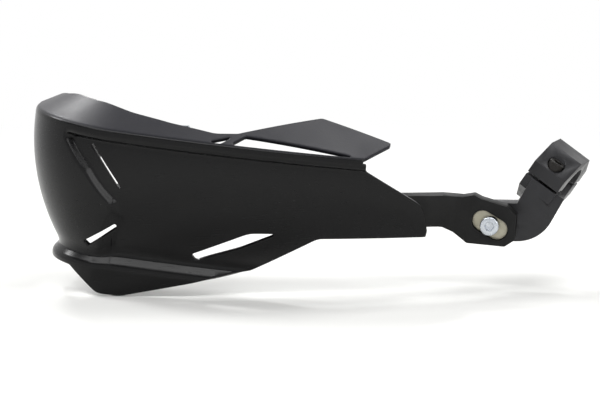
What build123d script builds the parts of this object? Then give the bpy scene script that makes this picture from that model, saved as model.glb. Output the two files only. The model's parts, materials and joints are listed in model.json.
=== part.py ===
import os
from math import asin, cos, degrees, radians, sin, sqrt, tan

from build123d import *

# Millimetres and degrees. The origin is the centre of the handlebar's outer end face.
# X runs along the grip towards the middle of the bike, Y to the rider, Z up.
# The guard's own frame is that frame turned about Y, so that its inner end hangs lower.
guard_tilt = 7.0

# Shield: reach, bends and section of the wall
front_reach = 115.0
corner_radius = 60.0
front_radius = 480.0
wall = 3.0
crease_z = 21.0
panel_height = 77.0
lean = 25.0
recess = 5.0
lip = 5.0
hood_slope = 30.0
hood_depth = 22.5
wing_depth = 32.0
ledge_width = 6.0
ledge_drop = 5.5
flare_height = 30.0
flare_lean = 9.0

# Shield: raised outer panel with a pointed, bevelled edge
chevron_tip = (21.0, -22.7)
chevron_middle = (4.0, -1.1)
chevron_top = (-79.3, 54.3)
chevron_foot = (-60.0, -92.0)
chevron_blunt = 8.0
chevron_depth = 9.0
bevel = 43.0
bevel_band = 5.0

# Shield: outline seen from the front
end_x = 208.5
end_foot_z = -25.0
end_round_x = 5.0
end_round_z = -5.0
end_top_x = 41.0
end_top_z = 14.0
foot_inner = (143.0, -32.0)
foot_step_x = 104.0
foot_step_rise = 2.5
flare_inner_x = 26.0
flare_outer_x = 12.0
flare_rise_x = -7.0
flare_drop = 23.5
end_round = 14.0
foot_round = 12.0
flare_round = 22.0
flare_corner = 10.0
edge_round = 1.5

# Shield: vent under the wing, slots, and the wing and rear edges seen from above and from the side
vent_length = 74.0
vent_bridge = 7.5
vent_slant = 7.5
vent_depth = 9.5
notch_gap = 6.0
notch_width = 8.0
notch_depth = 8.0
slit_top = (2.5, 10.5)
slit_foot = (21.0, -13.0)
slit_width = 1.4
outer_slot = ((1.3, -51.6), (20.1, -37.0), (21.2, -39.4), (4.2, -54.2))
leaf_slot = ((67.0, -51.8), (70.2, -55.6), (97.0, -43.5), (119.0, -31.1), (101.6, -33.0))
hood_rear = ((-13.0, 24.6), (0.0, 18.0), (30.0, 13.0), (57.0, 9.0))
neck_x = 2.0
neck_depth = 11.0
wing_rear_x = 49.0
wing_tip_x = 21.0
wing_tip_depth = 15.5
wing_foot_x = 3.0
rear_top = (-58.0, 44.0)
rear_shoulder = (-49.0, 18.0)
rear_middle = (-22.0, -2.0)
rear_foot = (-46.0, -72.0)
rear_round = 12.0

# Core bar
bar_depth = 12.0
bar_height = 19.7
bar_gap = 2.0
bar_z_outer = -26.0
bar_z_inner = -10.6
bar_web = 4.5
bar_flange = 3.5
rib = 3.0
rib_angles = (2.0, 9.0, 16.0, 23.0)
leg_rib_y = (-54.0, -32.0)
bend_radius = 40.0
bend_clear = 5.0
eye_radius = 14.5
arm_length = 31.0
arm_drop = 5.4
plate_foot = ((-33.0, -4.5), (-29.0, -4.5), (-22.0, -7.2), (-12.9, -13.0), (10.8, -12.0), (16.5, -7.0))
plate_top = ((15.5, 8.5), (9.0, 13.0), (-7.0, 15.6), (-12.0, 17.4), (-19.0, 15.3), (-33.0, 15.2))
plate_round = 2.4
slot_turn = -24.0
slot_length = 24.0
slot_width = 13.5
slot_recess = 5.0
slot_washer_thick = 3.0

# Screws between the core bar and the shield: along the front, and one on the outer leg
screw_angles = (5.5, 12.5, 19.5)
outer_screw_y = -46.0
boss_radius = 5.0
screw_radius = 2.0
screw_thread = 5.5
screw_head_radius = 4.0
screw_head = 2.8
screw_key = 2.5
spot = 0.3

# Handlebar clamp, placed from the bolt in the arm
clamp_x = 33.5
clamp_set_back = 26.0
clamp_z = 29.0
bar_fall = 27.0
bar_sweep = 12.0
handlebar_radius = 14.3
clamp_width = 23.0
clamp_wall = 6.0
clamp_split = 1.6
lug_wall = 2.7
lug_height = 9.0
leg_width = 24.0
leg_thick = 14.0
leg_elbow_x = 23.0
leg_elbow_z = 3.0

# Bolts
m6_radius = 3.0
m6_head_radius = 5.0
m6_head = 6.0
m6_key = 5.0
pivot_head_radius = 5.9
m8_radius = 4.0
m8_head_radius = 6.5
m8_head = 8.0
m8_key = 6.0
pivot_thread = 12.0
clamp_thread = 11.0
clearance = 0.25

# Fixing in the handlebar's end
spacer_length = 7.6
spacer_radius = 11.0
bush_radius = 7.0
end_washer_radius = 9.5
end_washer_thick = 1.8
sleeve_radius = 7.0
sleeve_length = 36.0
sleeve_slit = 1.6
sleeve_slit_length = 28.0
cone_mouth = 12.0
cone_rise = 2.0
cone_gap = 0.05
cone_length = 10.0

os.makedirs("parts", exist_ok=True)

guard = Plane.XY.rotated((0, guard_tilt, 0))


def at(x, y, z):
    return guard.from_local_coords((x, y, z))


def toward(x, y, z):
    return guard.x_dir * x + guard.y_dir * y + guard.z_dir * z


front_plane = Plane(at(0, 0, 0), x_dir=toward(1, 0, 0), z_dir=toward(0, -1, 0))
side_plane = Plane(at(0, 0, 0), x_dir=toward(0, 1, 0), z_dir=toward(1, 0, 0))

# The panel bellies: its section is an arc that stands upright where it leaves the hood's lip
lip_z = crease_z - lip
ledge_z = lip_z - panel_height
belly = (panel_height**2 + lean**2) / (2 * lean)
soft = 0.7 * wall


def wall_n(z, depth):
    return sqrt((belly - depth) ** 2 - (lip_z - z) ** 2) - belly


# The core bar runs behind the lowest stretch of panel that it crosses, and its eye meets the spacer
bar_n = wall_n(bar_z_outer - bar_height / 2, recess + wall / 2 + bar_gap + bar_depth / 2)
seat_n = bar_n + bar_depth / 2
eye_half = bar_depth / 2 + eye_radius * tan(radians(guard_tilt))
leg_x = -spacer_length - eye_half
eye_z = leg_x * tan(radians(guard_tilt))

outer_x = leg_x + bar_n
corner_x = outer_x + corner_radius
corner_y = corner_radius - front_reach
front_y = front_radius - front_reach
front_sweep = degrees(asin((end_x + wing_depth - corner_x) / front_radius))
section_plane = Plane(at(corner_x, -front_reach, 0), x_dir=toward(0, -1, 0), z_dir=toward(-1, 0, 0))
outer_plane = Plane(at(outer_x, corner_y, 0), x_dir=toward(-1, 0, 0), z_dir=toward(0, 1, 0))
front_axis = Axis(at(corner_x, front_y, 0), toward(0, 0, 1))
corner_axis = Axis(at(corner_x, corner_y, 0), toward(0, 0, -1))


def front_wall(x):
    return front_y - sqrt(front_radius**2 - (x - corner_x) ** 2)


def panel_arc(depth, top, foot):
    middle = (top + foot) / 2
    return ThreePointArc((wall_n(top, depth), top), (wall_n(middle, depth), middle), (wall_n(foot, depth), foot))


def wall_section(depth, recessed):
    with BuildSketch() as section:
        with BuildLine() as middle_line:
            Polyline((-depth, crease_z + depth * tan(radians(hood_slope))), (0, crease_z), (0, lip_z))
            if recessed:
                Line((0, lip_z), (-recess, lip_z))
                panel = panel_arc(recess, lip_z, ledge_z)
            else:
                panel = panel_arc(0, lip_z, ledge_z)
            ledge = Line(panel @ 1, (ledge_width - lean, ledge_z - ledge_drop))
            Line(ledge @ 1, (ledge_width - lean - flare_lean, ledge_z - ledge_drop - flare_height))
            corners = middle_line.vertices()
            if not recessed:
                corners = corners.filter_by(lambda corner: abs(corner.Y - lip_z) > lip / 2)
            fillet(corners, radius=soft)
        trace(line_width=wall)
        if not recessed:
            with BuildLine():
                panel_arc(recess / 2, lip_z, ledge_z)
            trace(line_width=recess + wall)
    return section.sketch


def hollow_section():
    with BuildSketch() as section:
        with BuildLine():
            panel_arc(wall + recess / 2, lip_z - wall, ledge_z + wall)
        trace(line_width=wall + recess)
    return section.sketch


def turned(front_section, corner_section):
    with BuildPart() as shell:
        with BuildSketch(section_plane):
            add(front_section)
        revolve(axis=front_axis, revolution_arc=front_sweep)
        with BuildSketch(section_plane):
            add(corner_section)
        revolve(axis=corner_axis, revolution_arc=90)
        with BuildSketch(outer_plane):
            add(corner_section)
        extrude(amount=rear_middle[0] - corner_y)
    return shell.part


def chevron(inset):
    with BuildPart() as wedge:
        with BuildSketch(front_plane.offset(front_reach + wall)):
            with BuildLine():
                Polyline(
                    chevron_tip,
                    chevron_middle,
                    chevron_top,
                    chevron_foot,
                    (chevron_tip[0], chevron_tip[1] - chevron_blunt),
                    close=True,
                )
            make_face()
            offset(amount=inset - (chevron_depth + wall) * tan(radians(bevel)), kind=Kind.INTERSECTION)
        extrude(amount=-front_reach, taper=-bevel)
    return wedge.part


# Stations along the core bar: each plane looks out of the bar towards the shield
bend_x = end_x + bend_clear
bar_turn = asin((bend_x - corner_x) / (front_radius + bar_n))


def bar_z(x):
    return bar_z_outer + (bar_z_inner - bar_z_outer) * (x - corner_x) / (bend_x - corner_x)


def leg_z(y):
    return bar_z_outer + (eye_z - bar_z_outer) * (y - corner_y) / -corner_y


def front_station(angle, n):
    x = corner_x + (front_radius + n) * sin(radians(angle))
    y = front_y - (front_radius + n) * cos(radians(angle))
    out = toward(sin(radians(angle)), -cos(radians(angle)), 0)
    return Plane(at(x, y, bar_z(x)), x_dir=toward(0, 0, 1), z_dir=out)


def outer_station(y, n):
    return Plane(at(outer_x - n, y, leg_z(y)), x_dir=toward(0, 0, 1), z_dir=toward(-1, 0, 0))


def boss_length(station, depth):
    z = guard.to_local_coords(station.origin).Z
    return wall_n(z, depth) - seat_n


screw_seats = [front_station(angle, seat_n) for angle in screw_angles]
boss_lengths = [boss_length(seat, recess) for seat in screw_seats]
screw_seats.append(outer_station(outer_screw_y, seat_n))
boss_lengths.append(boss_length(screw_seats[-1], 0))
web_left = bar_web - spot

# Shield: one moulding. The recessed wall is turned along the front and round the corner, the raised outer
# panel takes its place inside the chevron, and both are trimmed to the outline.
recessed_wall = turned(wall_section(1.3 * wing_depth, True), wall_section(hood_depth, True))
raised_wall = turned(wall_section(1.3 * wing_depth, False), wall_section(hood_depth, False))
hollow = turned(hollow_section(), hollow_section())
panel_edge = chevron(0)
panel_inside = chevron(-bevel_band)

with BuildPart() as panel_hollow:
    add(hollow)
    add(panel_inside, mode=Mode.INTERSECT)

with BuildPart() as outer_panel:
    add(raised_wall)
    add(panel_edge, mode=Mode.INTERSECT)
    add(panel_hollow.part, mode=Mode.SUBTRACT)

far_z = crease_z + wing_depth
far_x = 2 * outer_x
ledge_base_z = ledge_z - ledge_drop - wall
with BuildPart() as outline:
    with BuildSketch(front_plane):
        with BuildLine():
            FilletPolyline(
                (far_x, far_z),
                (end_x, far_z),
                (end_x, crease_z - wall / 2),
                (end_x - end_top_x, crease_z - wall / 2),
                (end_x - end_top_x, end_top_z),
                (end_x - end_round_x, end_round_z),
                (end_x, end_foot_z),
                foot_inner,
                (foot_step_x, ledge_z + foot_step_rise),
                (flare_inner_x, ledge_z - flare_drop),
                (flare_outer_x, ledge_z - flare_drop),
                (flare_rise_x, ledge_base_z),
                (far_x, ledge_base_z),
                close=True,
                radius=(
                    *4 * (edge_round / 2,),
                    edge_round,
                    end_round,
                    edge_round,
                    foot_round,
                    edge_round,
                    flare_round,
                    flare_corner,
                    edge_round,
                    edge_round,
                ),
            )
        make_face()
    extrude(amount=front_reach + 2 * wall)

vent_right = end_x - end_top_x - vent_bridge
vent_left = vent_right - vent_length
vent_middle = (vent_left + vent_right) / 2
notch_x = vent_left - notch_gap


def behind_wall(x, depth):
    return (x, front_wall(x) + depth)


with BuildPart() as shield:
    add(recessed_wall)
    add(panel_edge, mode=Mode.SUBTRACT)
    add(outer_panel.part)
    add(outline.part, mode=Mode.INTERSECT)

    with BuildSketch(guard.offset(crease_z - wall / 2)):
        with BuildLine():
            Polyline(
                *[behind_wall(corner_x + x, depth) for x, depth in hood_rear],
                behind_wall(vent_left + neck_x, neck_depth),
                behind_wall(vent_left + wing_rear_x, wing_depth),
                behind_wall(vent_right + wing_tip_x, wing_tip_depth),
                behind_wall(vent_right + wing_foot_x, -wall),
                (vent_right + wing_foot_x, -front_reach - wall),
                (end_x + wing_depth, -front_reach - wall),
                (end_x + wing_depth, 0),
                (corner_x + hood_rear[0][0], 0),
                close=True,
            )
        make_face()
    extrude(amount=far_z, mode=Mode.SUBTRACT)

    with BuildSketch(guard.offset(lip_z + soft)):
        with BuildLine():
            ThreePointArc(*[behind_wall(x, wall / 2) for x in (vent_left, vent_middle, vent_right)])
            Polyline(
                behind_wall(vent_right, wall / 2),
                behind_wall(vent_left + vent_slant, vent_depth),
                behind_wall(vent_left, wall / 2),
            )
        make_face()
        with BuildLine():
            Polyline(
                behind_wall(notch_x, wall / 2),
                behind_wall(notch_x - notch_width, wall / 2),
                behind_wall(vent_left, notch_depth),
                close=True,
            )
        make_face()
    extrude(amount=far_z, mode=Mode.SUBTRACT)

    with BuildSketch(side_plane.offset(outer_x - wall)):
        with BuildLine():
            FilletPolyline(
                rear_top,
                rear_shoulder,
                rear_middle,
                rear_foot,
                (0, rear_foot[1]),
                (0, rear_top[1]),
                close=True,
                radius=rear_round,
            )
        make_face()
    extrude(amount=corner_radius, mode=Mode.SUBTRACT)

    with BuildSketch(front_plane):
        with BuildLine():
            Line(slit_top, slit_foot)
        trace(line_width=slit_width)
        with BuildLine():
            Polyline(*outer_slot, close=True)
        make_face()
        with BuildLine():
            Polyline(*leaf_slot, close=True)
        make_face()
    extrude(amount=front_reach + 2 * wall, mode=Mode.SUBTRACT)

    for seat, length in zip(screw_seats, boss_lengths):
        with Locations(seat):
            Cylinder(boss_radius, length, align=(Align.CENTER, Align.CENTER, Align.MIN))
            Cylinder(
                screw_radius,
                screw_thread + spot,
                align=(Align.CENTER, Align.CENTER, Align.MIN),
                mode=Mode.SUBTRACT,
            )

shield.part.label = "shield"
export_step(shield.part, "parts/shield.step")

# Core bar: a moulded channel, its arm slotted for the clamp's bolt and its eye on the handlebar's axis
pivot_x = bend_x + arm_length
pivot_z = bar_z_inner - arm_drop
arm_y = front_y - (front_radius + bar_n) * cos(bar_turn) + bend_radius * (1 - cos(bar_turn))
plate_front = arm_y - bar_depth / 2
plate_back = arm_y + bar_depth / 2
pivot_plane = Plane(at(pivot_x, plate_front, pivot_z), x_dir=toward(1, 0, 0), z_dir=toward(0, -1, 0))
eye_in = leg_x + eye_half
eye_out = leg_x - eye_half
eye_plane = Plane((eye_out, 0, 0), x_dir=(0, 1, 0), z_dir=(1, 0, 0))
pocket_end = -1.5 * eye_radius
pocket_half = bar_height / 2 - bar_flange


def bar_edge(shift):
    corner = JernArc((leg_x + shift, corner_y), (0, -1), corner_radius + bar_n - shift, 90)
    front = JernArc(corner @ 1, corner % 1, front_radius + bar_n - shift, degrees(bar_turn))
    bend = JernArc(front @ 1, front % 1, bend_radius + shift, -degrees(bar_turn))
    arm = Line(bend @ 1, (pivot_x + slot_length, (bend @ 1).Y))
    return corner @ 0, arm @ 1


def bar_ribbon(outside, inside):
    with BuildPart() as ribbon:
        with BuildSketch(guard):
            with BuildLine():
                outer_start, outer_end = bar_edge(outside)
                inner_start, inner_end = bar_edge(inside)
                Line(outer_start, inner_start)
                Line(outer_end, inner_end)
            make_face()
        extrude(amount=bar_height - bar_z_outer, both=True)
    return ribbon.part


def bar_band(half):
    return (
        (far_x, bar_z_outer - half),
        (corner_x, bar_z_outer - half),
        (bend_x, bar_z_inner - half),
        (bend_x, bar_z_inner + half),
        (corner_x, bar_z_outer + half),
        (far_x, bar_z_outer + half),
    )


with BuildPart() as bar_outline:
    with BuildSketch(front_plane):
        with BuildLine():
            Polyline(*bar_band(bar_height / 2), close=True)
        make_face()
        with BuildLine():
            FilletPolyline(
                *[(pivot_x + x, pivot_z + z) for x, z in plate_foot + plate_top],
                close=True,
                radius=plate_round,
            )
        make_face()
    extrude(amount=front_reach)

with BuildPart() as pocket_band:
    with BuildSketch(front_plane):
        with BuildLine():
            Polyline(*bar_band(pocket_half), close=True)
        make_face()
    extrude(amount=front_reach)

bar_body = bar_ribbon(-bar_depth / 2, bar_depth / 2)
bar_hollow = bar_ribbon(bar_web - bar_depth / 2, bar_depth)

with BuildPart() as pockets:
    add(bar_hollow)
    add(pocket_band.part, mode=Mode.INTERSECT)
    with BuildSketch(side_plane.offset(leg_x - bar_depth / 2 + bar_web)):
        with BuildLine():
            Polyline(
                (corner_y, bar_z_outer - pocket_half),
                (corner_y, bar_z_outer + pocket_half),
                (pocket_end, leg_z(pocket_end) + pocket_half),
                (pocket_end, leg_z(pocket_end) - pocket_half),
                close=True,
            )
        make_face()
    extrude(amount=bar_depth)
    for angle in rib_angles:
        with Locations(front_station(angle, bar_n)):
            Box(2 * bar_height, rib, 2 * bar_depth, mode=Mode.SUBTRACT)
    for y in leg_rib_y:
        with Locations(outer_station(y, bar_n)):
            Box(2 * bar_height, rib, 2 * bar_depth, mode=Mode.SUBTRACT)

with BuildPart() as core_bar:
    add(bar_body)
    add(bar_outline.part, mode=Mode.INTERSECT)
    with BuildSketch(side_plane.offset(leg_x - bar_depth / 2)):
        with BuildLine():
            Line((corner_y, bar_z_outer - bar_height / 2), (corner_y, bar_z_outer + bar_height / 2))
            CenterArc((0, eye_z), eye_radius, 0, 360)
        make_hull()
    extrude(amount=bar_depth)
    with Locations(eye_plane):
        Cylinder(eye_radius, eye_in - eye_out, align=(Align.CENTER, Align.CENTER, Align.MIN))
    add(pockets.part, mode=Mode.SUBTRACT)

    for seat in screw_seats:
        with Locations(seat):
            Cylinder(screw_radius + clearance, 2 * bar_web, mode=Mode.SUBTRACT)
        with Locations(seat.offset(-web_left)):
            Cylinder(
                screw_head_radius + clearance,
                bar_depth - web_left,
                align=(Align.CENTER, Align.CENTER, Align.MAX),
                mode=Mode.SUBTRACT,
            )

    with BuildSketch(pivot_plane):
        SlotOverall(slot_length, slot_width, rotation=slot_turn)
    extrude(amount=-slot_recess, mode=Mode.SUBTRACT)
    with BuildSketch(pivot_plane):
        SlotOverall(slot_length - slot_width / 2, 2 * (m6_radius + clearance), rotation=slot_turn)
    extrude(amount=-bar_depth, mode=Mode.SUBTRACT)
    with Locations(eye_plane):
        Cylinder(
            bush_radius,
            eye_in - eye_out,
            align=(Align.CENTER, Align.CENTER, Align.MIN),
            mode=Mode.SUBTRACT,
        )

core_bar.part.label = "core_bar"
export_step(core_bar.part, "parts/core_bar.step")


def cap_bolt(radius, length, head_radius, head, key):
    with BuildPart() as bolt:
        with BuildSketch(Plane.XZ):
            with BuildLine():
                Polyline(
                    (0, -head),
                    (head_radius - clearance, -head),
                    (head_radius, clearance - head),
                    (head_radius, 0),
                    (radius, 0),
                    (radius, length - radius / 2),
                    (radius / 2, length),
                    (0, length),
                    close=True,
                )
            make_face()
        revolve(axis=Axis.Z)
        with BuildSketch(Plane.XY.offset(-head)):
            RegularPolygon(key / 2, 6, major_radius=False)
        extrude(amount=head / 2, mode=Mode.SUBTRACT)
    return bolt.part


def ring(outer, inner, start, end):
    with BuildPart() as collar:
        with BuildSketch(Plane((start, 0, 0), x_dir=(0, 1, 0), z_dir=(1, 0, 0))):
            Circle(outer)
            Circle(inner, mode=Mode.SUBTRACT)
        extrude(amount=end - start)
    return collar.part


# Oblong washer and bolt in the slot of the arm
with BuildPart() as slot_washer:
    with BuildSketch(pivot_plane.offset(-slot_recess)):
        SlotOverall(slot_length - 2 * clearance, slot_width - 2 * clearance, rotation=slot_turn)
        Circle(m6_radius + clearance, mode=Mode.SUBTRACT)
    extrude(amount=slot_washer_thick)
slot_washer.part.label = "slot_washer"
export_step(slot_washer.part, "parts/slot_washer.step")

pivot_seat = Plane(
    pivot_plane.offset(slot_washer_thick - slot_recess).origin,
    x_dir=toward(1, 0, 0),
    z_dir=toward(0, 1, 0),
)
pivot_length = slot_washer_thick + bar_depth - slot_recess + pivot_thread
pivot_part = cap_bolt(m6_radius, pivot_length, pivot_head_radius, m6_head, m6_key)
with BuildPart() as pivot_bolt:
    with Locations(pivot_seat):
        add(pivot_part)
pivot_bolt.part.label = "pivot_bolt"
export_step(pivot_bolt.part, "parts/pivot_bolt.step")

# Handlebar clamp: in its plane x points to the rear and y up, and z runs along the handlebar
fall = radians(bar_fall)
sweep = radians(bar_sweep)
clamp_plane = Plane(
    at(pivot_x + clamp_x, plate_back + clamp_set_back, pivot_z + clamp_z),
    x_dir=toward(sin(sweep), cos(sweep), 0),
    z_dir=toward(cos(fall) * cos(sweep), -cos(fall) * sin(sweep), -sin(fall)),
)
ring_radius = handlebar_radius + clamp_wall
half_gap = clamp_split / 2
lug_bolt_x = handlebar_radius + lug_wall + m6_radius
lug_reach = lug_bolt_x + m6_head_radius + clamp_split
lug_seats = [
    Plane(clamp_plane.from_local_coords((x, lug_height, 0)), x_dir=clamp_plane.z_dir, z_dir=-clamp_plane.y_dir)
    for x in (-lug_bolt_x, lug_bolt_x)
]

with BuildPart() as clamp_body:
    with BuildSketch(front_plane.offset(-plate_back - leg_thick)):
        with BuildLine():
            FilletPolyline(
                (pivot_x, pivot_z),
                (pivot_x + leg_elbow_x, pivot_z + leg_elbow_z),
                (pivot_x + clamp_x, pivot_z + clamp_z),
                radius=leg_width / 2,
            )
        trace(line_width=leg_width)
        with Locations((pivot_x, pivot_z)):
            Circle(leg_width / 2)
    extrude(amount=leg_thick)
    with Locations(clamp_plane):
        Cylinder(handlebar_radius + clamp_split, 2 * leg_width, mode=Mode.SUBTRACT)
    with BuildSketch(clamp_plane.offset(-clamp_width / 2)):
        with BuildLine():
            Polyline(
                (-lug_reach, -half_gap),
                (-lug_reach, -lug_height),
                (-ring_radius / 2, -ring_radius),
                (ring_radius / 2, -ring_radius),
                (lug_reach, -lug_height),
                (lug_reach, -half_gap),
                close=True,
            )
        make_face()
    extrude(amount=clamp_width)
    with BuildSketch(clamp_plane.offset(-leg_width)):
        with Locations((0, -half_gap)):
            Rectangle(4 * lug_reach, 2 * ring_radius, align=(Align.CENTER, Align.MIN))
        Circle(handlebar_radius)
    extrude(amount=2 * leg_width, mode=Mode.SUBTRACT)
    for seat in lug_seats:
        with Locations(seat):
            Cylinder(
                m6_radius,
                2 * ring_radius,
                align=(Align.CENTER, Align.CENTER, Align.MIN),
                mode=Mode.SUBTRACT,
            )
    with Locations(pivot_seat):
        Cylinder(
            m6_radius,
            pivot_length + leg_thick,
            align=(Align.CENTER, Align.CENTER, Align.MIN),
            mode=Mode.SUBTRACT,
        )
clamp_body.part.label = "clamp_body"
export_step(clamp_body.part, "parts/clamp_body.step")

with BuildPart() as clamp_cap:
    with BuildSketch(clamp_plane.offset(-clamp_width / 2)):
        with BuildLine():
            Polyline(
                (-lug_reach, half_gap),
                (-lug_reach, lug_height),
                (-ring_radius / 2, ring_radius),
                (ring_radius / 2, ring_radius),
                (lug_reach, lug_height),
                (lug_reach, half_gap),
                close=True,
            )
        make_face()
        Circle(handlebar_radius, mode=Mode.SUBTRACT)
    extrude(amount=clamp_width)
    for seat in lug_seats:
        with Locations(seat):
            Cylinder(
                m6_head_radius + 2 * clearance,
                ring_radius,
                align=(Align.CENTER, Align.CENTER, Align.MAX),
                mode=Mode.SUBTRACT,
            )
            Cylinder(
                m6_radius + clearance,
                ring_radius,
                align=(Align.CENTER, Align.CENTER, Align.MIN),
                mode=Mode.SUBTRACT,
            )
clamp_cap.part.label = "clamp_cap"
export_step(clamp_cap.part, "parts/clamp_cap.step")

lug_bolt = cap_bolt(m6_radius, lug_height + clamp_thread, m6_head_radius, m6_head, m6_key)
with BuildPart() as clamp_bolts:
    for seat in lug_seats:
        with Locations(seat):
            add(lug_bolt)
clamp_bolts.part.label = "clamp_bolts"
export_step(clamp_bolts.part, "parts/clamp_bolts.step")

# Screws that hold the shield to the core bar, from behind
shield_screw = cap_bolt(screw_radius, web_left + screw_thread, screw_head_radius, screw_head, screw_key)
with BuildPart() as shield_screws:
    for seat in screw_seats:
        with Locations(seat.offset(-web_left)):
            add(shield_screw)
shield_screws.part.label = "shield_screws"
export_step(shield_screws.part, "parts/shield_screws.step")

# Fixing in the handlebar's end, along X
bolt_way = m8_radius + clearance
with BuildPart() as end_bush:
    add(ring(bush_radius, bolt_way, eye_out, eye_in))
end_bush.part.label = "end_bush"
export_step(end_bush.part, "parts/end_bush.step")

with BuildPart() as end_spacer:
    add(ring(spacer_radius, bolt_way, eye_in, 0))
end_spacer.part.label = "end_spacer"
export_step(end_spacer.part, "parts/end_spacer.step")

with BuildPart() as end_washer:
    add(ring(end_washer_radius, bolt_way, eye_out - end_washer_thick, eye_out))
end_washer.part.label = "end_washer"
export_step(end_washer.part, "parts/end_washer.step")

end_bolt_length = sleeve_length + cone_length - eye_out
end_bolt_part = cap_bolt(m8_radius, end_bolt_length, m8_head_radius, m8_head, m8_key)
with BuildPart() as end_bolt:
    with Locations(eye_plane.offset(-end_washer_thick)):
        add(end_bolt_part)
end_bolt.part.label = "end_bolt"
export_step(end_bolt.part, "parts/end_bolt.step")

with BuildPart() as expander_sleeve:
    with BuildSketch(Plane.XY):
        with BuildLine():
            Polyline(
                (0, bolt_way),
                (0, sleeve_radius),
                (sleeve_length, sleeve_radius),
                (sleeve_length, bolt_way + cone_rise),
                (sleeve_length - cone_mouth, bolt_way),
                close=True,
            )
        make_face()
    revolve(axis=Axis.X)
    for turn in (45, 135):
        with Locations(Plane((sleeve_length, 0, 0)).rotated((turn, 0, 0))):
            Box(2 * sleeve_slit_length, 2 * spacer_radius, sleeve_slit, mode=Mode.SUBTRACT)
expander_sleeve.part.label = "expander_sleeve"
export_step(expander_sleeve.part, "parts/expander_sleeve.step")

with BuildPart() as expander_cone:
    with BuildSketch(Plane.XY):
        with BuildLine():
            Polyline(
                (sleeve_length - cone_mouth / 2, m8_radius),
                (sleeve_length - cone_mouth / 2, bolt_way + cone_rise / 2 - cone_gap),
                (sleeve_length, bolt_way + cone_rise - cone_gap),
                (sleeve_length + cone_length, bolt_way + cone_rise - cone_gap),
                (sleeve_length + cone_length, m8_radius),
                close=True,
            )
        make_face()
    revolve(axis=Axis.X)
expander_cone.part.label = "expander_cone"
export_step(expander_cone.part, "parts/expander_cone.step")
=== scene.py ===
import json
from math import asin, cos, pi, radians, sin, tan

import bmesh
import bpy
import numpy as np
from mathutils import Matrix, Vector
from mathutils.bvhtree import BVHTree


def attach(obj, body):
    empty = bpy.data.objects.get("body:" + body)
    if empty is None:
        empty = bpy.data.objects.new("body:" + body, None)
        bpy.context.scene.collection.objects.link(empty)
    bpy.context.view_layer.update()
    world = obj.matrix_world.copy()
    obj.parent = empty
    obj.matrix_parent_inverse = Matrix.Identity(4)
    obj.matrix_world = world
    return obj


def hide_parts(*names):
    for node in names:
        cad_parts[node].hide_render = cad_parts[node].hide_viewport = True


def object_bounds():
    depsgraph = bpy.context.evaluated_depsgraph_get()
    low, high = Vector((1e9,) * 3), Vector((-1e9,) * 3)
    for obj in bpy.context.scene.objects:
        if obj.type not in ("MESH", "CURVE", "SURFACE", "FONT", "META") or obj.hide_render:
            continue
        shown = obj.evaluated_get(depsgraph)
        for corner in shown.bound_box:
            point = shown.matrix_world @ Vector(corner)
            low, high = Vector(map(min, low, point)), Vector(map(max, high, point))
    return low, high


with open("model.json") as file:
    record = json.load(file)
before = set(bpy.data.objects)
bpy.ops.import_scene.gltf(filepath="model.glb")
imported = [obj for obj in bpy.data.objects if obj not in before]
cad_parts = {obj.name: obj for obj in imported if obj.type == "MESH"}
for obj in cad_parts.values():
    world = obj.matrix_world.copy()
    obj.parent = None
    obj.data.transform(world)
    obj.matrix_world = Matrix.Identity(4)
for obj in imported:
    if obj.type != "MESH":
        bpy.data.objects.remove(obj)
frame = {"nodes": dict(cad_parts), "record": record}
cad_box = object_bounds()
bpy.context.scene.view_settings.view_transform = "Standard"

# Core bar: a moulded channel of black nylon with glass fibre in it, which carries the whole guard. Its arm
# is slotted for the clamp's bolt, and the eye at its other end takes the end bolt.
mm = 0.001
bar_edge = 0.6 * mm
same_spot, flat_within, sharp_from = 0.001 * mm, radians(1), radians(32)
nylon_dark, nylon_pale = "#0c0c0c", "#171717"
fibre_size, fibre_height, sink_size = 1.2 * mm, 0.3 * mm, 12 * mm


def linear(colour):
    parts = [int(colour[i : i + 2], 16) / 255 for i in (1, 3, 5)]
    return [p / 12.92 if p <= 0.04045 else ((p + 0.055) / 1.055) ** 2.4 for p in parts] + [1]


def node(tree, kind, inputs=None, **settings):
    made = tree.nodes.new(kind)
    for name, value in settings.items():
        setattr(made, name, value)
    for name, value in (inputs or {}).items():
        if isinstance(value, bpy.types.NodeSocket):
            tree.links.new(value, made.inputs[name])
        else:
            made.inputs[name].default_value = value
    return made


def new_material(name):
    material = bpy.data.materials.new(name)
    material.use_nodes = True
    material.node_tree.nodes.clear()
    return material, material.node_tree, node(material.node_tree, "ShaderNodeTexCoord").outputs["Object"]


def mottled(tree, tint, dark, pale, wear, smooth, rough):
    """Colour between two tones along one noise, and roughness between two values along another."""
    colour = node(
        tree,
        "ShaderNodeMix",
        {"Factor": tint.outputs["Fac"], "A": linear(dark), "B": linear(pale)},
        data_type="RGBA",
    )
    roughness = node(
        tree,
        "ShaderNodeMapRange",
        {"Value": wear.outputs["Fac"], "From Min": 0.3, "From Max": 0.7, "To Min": smooth, "To Max": rough},
    )
    return {"Base Color": colour.outputs["Result"], "Roughness": roughness.outputs["Result"]}


def show(data, name, material, cad_node):
    data.materials.clear()
    data.materials.append(material)
    piece = bpy.data.objects.new(name, data)
    bpy.context.collection.objects.link(piece)
    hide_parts(cad_node)
    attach(piece, "root")


def merged(cad_node):
    """The CAD node's loose triangles, joined where they meet."""
    shape = bmesh.new()
    shape.from_mesh(frame["nodes"][cad_node].data)
    bmesh.ops.remove_doubles(shape, verts=shape.verts, dist=same_spot)
    return shape


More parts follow.
